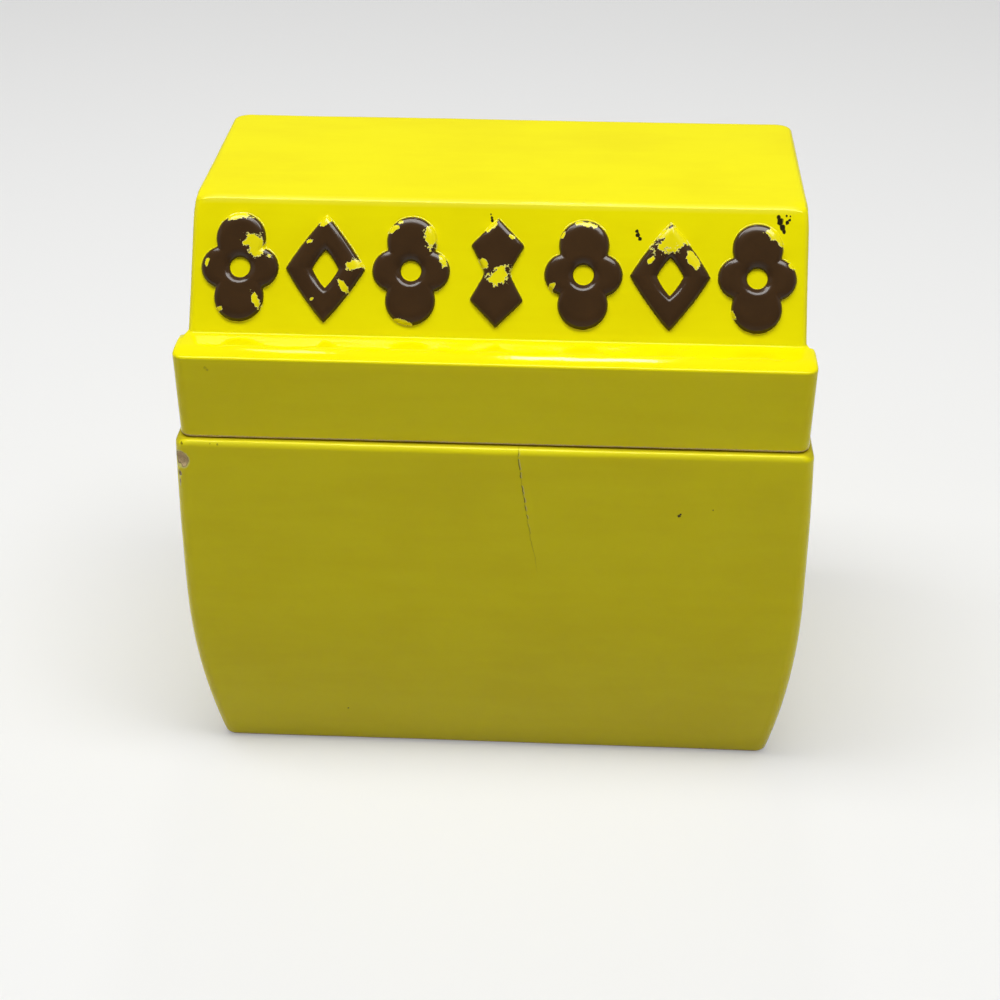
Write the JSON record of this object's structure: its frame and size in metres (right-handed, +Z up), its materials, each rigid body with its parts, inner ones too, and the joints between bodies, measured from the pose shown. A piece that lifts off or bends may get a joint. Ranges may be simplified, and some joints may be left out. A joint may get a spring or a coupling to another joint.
{
  "type": "index card box",
  "caption": "Glazed ceramic box for index cards: a swelling base with a loose lift-off lid, its sloping front set with raised ornaments.",
  "frame": {"origin": "on the table under the middle of the base", "axes": "+X across the width to the right as seen from the front, +Y to the back, +Z up; the sloping panel faces -Y"},
  "size_m": [0.165, 0.1034, 0.1512],
  "materials": {
    "yellow_glaze": "high gloss lemon yellow glaze, bare clay at the foot ring",
    "brown_enamel": "glossy dark brown enamel over the yellow glaze, flaked at its edges"
  },
  "bodies": {
    "base": {"base": "yellow_glaze"},
    "lid": {"lid": "yellow_glaze", "quatrefoil_1": "brown_enamel", "lozenge_1": "brown_enamel", "quatrefoil_2": "brown_enamel", "chain": "brown_enamel", "quatrefoil_3": "brown_enamel", "lozenge_2": "brown_enamel", "quatrefoil_4": "brown_enamel"}
  },
  "joints": [
    {"name": "lid_lift", "type": "slide", "parent": "base", "child": "lid", "axis": [0, 0, 1], "range_m": [0, 0.1]}
  ]
}
